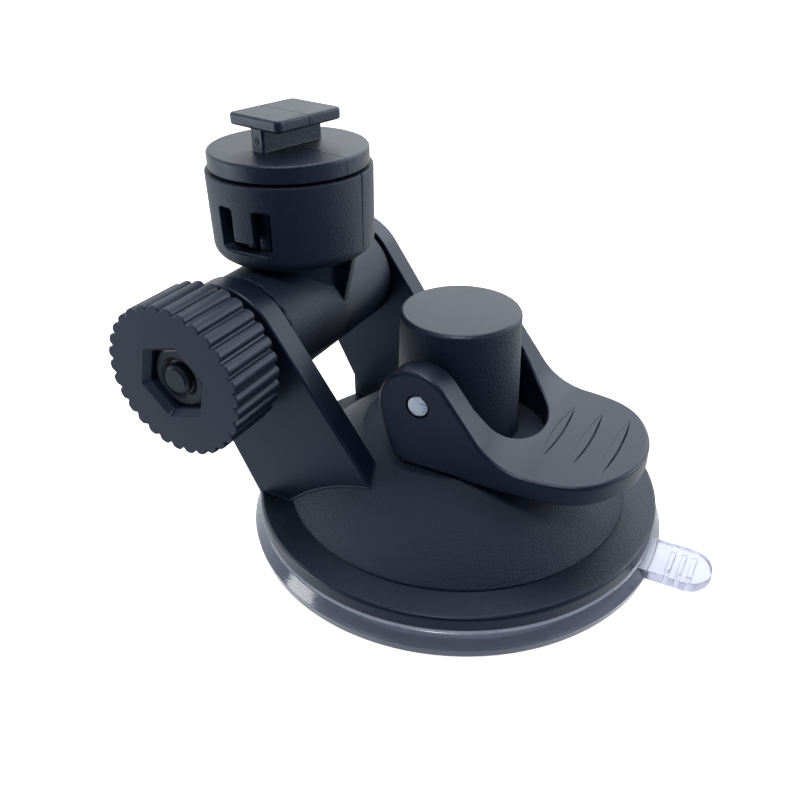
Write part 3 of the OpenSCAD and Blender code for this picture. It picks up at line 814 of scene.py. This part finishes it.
shoeFinish = mouldedPlastic("smooth black plastic", {
    "dark": (0.003, 0.005, 0.014, 1), "light": (0.009, 0.013, 0.029, 1), "rough": 0.28,
    "grainSize": 0.3, "grainDepth": 0.8, "grainRough": 0.05, "bump": 0.6})
dress(makeShoe(), "shoe", "shoe_plastic", shoeFinish, "camera_shoe")


# the clamp: bolt, washer, knob and nut

clamp = {
    "boltR": 2.5, "pitch": 0.8, "boltEnd": 28.2, "headFrom": 16.8, "headTo": 20.3,
    "flats": 8, "flatsOut": 4.75, "ringR": 3.8, "threadDeep": 0.42,
    "pilot": 1.15, "pilotR": 2.05, "pilotTipR": 1.6, "pilotSlope": 1.2,
    "washerR": 6.7, "washerFrom": 17.6, "washerTo": 18.6, "hubFrom": 18.7, "knobBack": 20.0, "knobFace": 28.8,
    "knobR": 10.6, "knobSoft": 0.14, "ribs": 30, "ribDeep": 0.62, "ribCrown": 0.62, "ribHalf": 0.38,
    "ribSteps": (-0.5, -0.44, -0.38, -0.33, -0.26, -0.16, -0.05, 0.05, 0.16, 0.26, 0.33, 0.38, 0.44),
    "hexTurn": 15, "pocket": 8.3, "pocketSoft": 0.35, "mouth": 9.6,
    "nutFrom": 23.5, "nutFace": 27.35, "nutRing": 3.65, "nutMouth": 2.95,
}


def makeBolt():
    c = clamp

    def point(z):  # a plain pilot, chamfered, before the thread starts
        depth = c["boltEnd"] - z
        if depth > c["pilot"]:
            return c["boltR"]
        return min(c["pilotR"], c["pilotTipR"] + depth * c["pilotSlope"])

    piece = threadedRod("clampBolt", c["boltR"] - 0.02, c["threadDeep"], c["pitch"], 19, c["boltEnd"],
                        alongSwivel, point)
    combine(piece, rod("shank", c["boltR"], -17.5, 19.3, alongSwivel))
    face, back, flats = -c["headTo"], -c["headFrom"], hexagon(c["flats"], 30)
    head = loft("head", [(face, flats), (back, flats)], alongSwivel)
    combine(head, lathe("chamfer", [
        (0, face), (c["ringR"], face), (c["flatsOut"], face + 0.5), (c["flatsOut"], back + 1), (0, back + 1)],
        96, alongSwivel), how="INTERSECT")
    return combine(piece, head)


def makeNut():
    c = clamp
    back, face, flats = c["nutFrom"] + 0.05, c["nutFace"], hexagon(c["flats"], c["hexTurn"])
    piece = loft("knobNut", [(back, flats), (face, flats)], alongSwivel)
    combine(piece, lathe("chamfer", [
        (0, back), (c["nutRing"], back), (c["flatsOut"], c["nutFrom"] + 0.5), (c["flatsOut"], face - 0.6),
        (c["nutRing"], face), (0, face)], 120, alongSwivel), how="INTERSECT")
    cut(piece, threadedRod("nutThread", c["boltR"] + 0.06, 0.3, c["pitch"], c["nutFrom"] - 1, face + 1,
                           alongSwivel))
    return cut(piece, lathe("countersink", [
        (0, face - 0.5), (c["boltR"] - 0.1, face - 0.5), (c["nutMouth"], face - 0.02),
        (c["nutMouth"], face + 1), (0, face + 1)], 96, alongSwivel))


def makeWasher():
    inner, outer, low, high = (clamp[key] for key in ("boltR", "washerR", "washerFrom", "washerTo"))
    inner += 0.05
    return lathe("clampWasher", rounded([
        (inner, low), (outer, low, 0.2), (outer, high, 0.2), (inner, high)]), 96, alongSwivel)


def makeKnob():
    c = clamp
    rim = []
    for rib in range(c["ribs"]):
        for share in c["ribSteps"]:
            across = abs(share) / c["ribHalf"]
            r = c["knobR"] - c["ribDeep"] * (1 if across > 1 else c["ribCrown"] * across ** 3)
            rim.append(polar(r, 2 * pi * (rib + share) / c["ribs"]))
    soft = c["knobSoft"]
    piece = softPrism("clampKnob", rim, c["knobBack"], c["knobFace"], soft, soft, alongSwivel, 3)
    inKnob = c["knobBack"] + 0.5
    combine(piece, lathe("hub", rounded([
        (0, c["hubFrom"]), (c["washerR"], c["hubFrom"], 0.2), (c["washerR"], inKnob), (0, inKnob)]),
        96, alongSwivel))
    cut(piece, rod("bore", h["boltBore"], 18, 29, alongSwivel))
    pocket = rounded([(*p, c["pocketSoft"]) for p in hexagon(c["pocket"], c["hexTurn"])], 3)
    mouth = [Vector(p) * c["mouth"] / c["pocket"] for p in pocket]
    return cut(piece, loft("pocket", [
        (c["nutFrom"], pocket), (c["knobFace"] - 0.95, pocket), (c["knobFace"] - 0.12, mouth),
        (c["knobFace"] + 0.5, [p * 1.05 for p in mouth])], alongSwivel))


knobFinish = mouldedPlastic("knob black plastic", {
    "dark": (0.005, 0.007, 0.017, 1), "light": (0.011, 0.015, 0.032, 1), "rough": 0.36,
    "grainSize": 0.22, "grainDepth": 0.2, "grainRough": 0.03, "bump": 0.35})
oxide = polishedBlack("black oxide", {
    "metal": 0.35, "rough": 0.28, "dark": (0.01, 0.011, 0.017, 1), "light": (0.032, 0.034, 0.044, 1)})
dress(makeBolt(), "base", "bolt_black", oxide, "clamp_bolt")
dress(makeWasher(), "washer", "washer_steel", oxide, "clamp_washer")
dress(makeKnob(), "knob", "knob_plastic", knobFinish, "clamp_knob")
dress(makeNut(), "knob", "nut_black", oxide, "knob_nut")


# floor, light and camera

studio = {
    "sweep": [(0, 0), (2.5, 0), (3.4, 0.15), (4.1, 0.6), (4.5, 1.4), (4.5, 4.5), (0, 4.6)],
    "sweepDrop": 0.2,  # the sweep is in metres, its drop in millimetres
    "floorColour": (0.9, 0.91, 0.92, 1), "dustColour": (0.86, 0.86, 0.87, 1), "floorGlow": 0.86,
    "behindTurn": 204, "behindLean": -37,  # where the surround is brightest
    "surround": [(0.08, (0.05, 0.08, 0.15, 1)), (0.3, (0.23, 0.3, 0.43, 1)), (0.5, (0.5, 0.58, 0.72, 1)),
                 (0.75, (1.2, 1.25, 1.3, 1)), (1.0, (1, 1, 1, 1))],
    "aim": (-0.01, 0, 0.025),
    "lights": [  # name, turn and height in degrees, size in metres, watts; each is a metre away
        ("back", 196, 32, 0.7, 1.25), ("overhead", 196, 66, 0.6, 2.8), ("backRight", 160, 30, 0.6, 2.2),
        ("backLeft", 262, 40, 0.4, 0.3), ("rimRight", 122, 14, 0.4, 2.6), ("rimLeft", 285, 12, 0.4, 0.7),
        ("frontLeft", 308, -1, 0.35, 3.0), ("frontHigh", 14, 67, 0.22, 3.6)],
}
eye = {"turn": 24.14, "away": 0.10247, "up": 0.0819, "yaw": 4.77, "pitch": 31.49, "roll": -0.66,
       "lens": 36.8, "sensor": 36, "clip": (0.005, 20)}


def makeFloor():  # a white floor that sweeps up into the walls, and throws no light back at the mount
    outline = [(r / mm, z / mm) for r, z in studio["sweep"]]
    floor = lathe("floor", outline, 96, Matrix.Translation((0, 0, -studio["sweepDrop"])))
    for face in floor.data.polygons:
        face.flip()
    finish = Finish("pale floor", {"Roughness": 0.9, "Specular IOR Level": 0.0,
                                   "Emission Strength": studio["floorGlow"]})
    dust = finish.noise(finish.place(), 3, 2)
    floor.data.materials.append(finish.shaded(
        Base_Color=finish.tint(dust * 0.03, studio["floorColour"], studio["dustColour"]),
        Emission_Color=(1, 1, 1, 1)))
    floor.visible_diffuse = floor.visible_glossy = False


def aimedFrom(turn, height):
    a, e = math.radians(turn), math.radians(height)
    return Vector((math.sin(a) * math.cos(e), -math.cos(a) * math.cos(e), math.sin(e)))


def makeLights():
    world = bpy.data.worlds.new("studio")
    bpy.context.scene.world = world
    world.use_nodes = True
    nodes = Nodes(world.node_tree)
    toward = nodes.add("VectorMath", {"operation": "DOT_PRODUCT"}, {
        0: nodes.add("TexCoord"), 1: aimedFrom(studio["behindTurn"], studio["behindLean"])}, out=1)
    nodes.feed(world.node_tree.nodes["Background"].inputs["Color"],
               nodes.add("ValToRGB", {"stops": studio["surround"]}, {0: toward * 0.5 + 0.5}))
    for name, turn, height, size, watts in studio["lights"]:
        aim, away = Vector(studio["aim"]), aimedFrom(turn, height)
        lamp = bpy.data.lights.new(name, "AREA")
        lamp.shape, lamp.size, lamp.energy = "DISK", size, watts
        holder = bpy.data.objects.new(name, lamp)
        holder.location = aim + away
        holder.rotation_euler = away.to_track_quat("Z", "Y").to_euler()
        bpy.context.scene.collection.objects.link(holder)


def makeCamera():
    turn, heading, pitch, roll = (math.radians(a) for a in
                                  (eye["turn"], eye["turn"] + eye["yaw"], eye["pitch"], eye["roll"]))
    level, down = math.cos(pitch), -math.sin(pitch)
    ahead = Vector((-math.sin(heading) * level, math.cos(heading) * level, down))
    right = Vector((math.cos(heading), math.sin(heading), 0))
    over = right.cross(ahead)
    right, over = (right * math.cos(roll) + over * math.sin(roll),
                   over * math.cos(roll) - right * math.sin(roll))
    camera = bpy.data.objects.new("camera", bpy.data.cameras.new("camera"))
    camera.data.lens, camera.data.sensor_width = eye["lens"], eye["sensor"]
    camera.data.clip_start, camera.data.clip_end = eye["clip"]
    camera.matrix_world = Matrix((right, over, -ahead)).transposed().to_4x4()
    camera.location = (math.sin(turn) * eye["away"], -math.cos(turn) * eye["away"], eye["up"])
    bpy.context.scene.collection.objects.link(camera)
    bpy.context.scene.camera = camera


makeFloor()
makeLights()
makeCamera()
bpy.context.scene.view_settings.view_transform = "Standard"
print("stage: floor, light and camera")
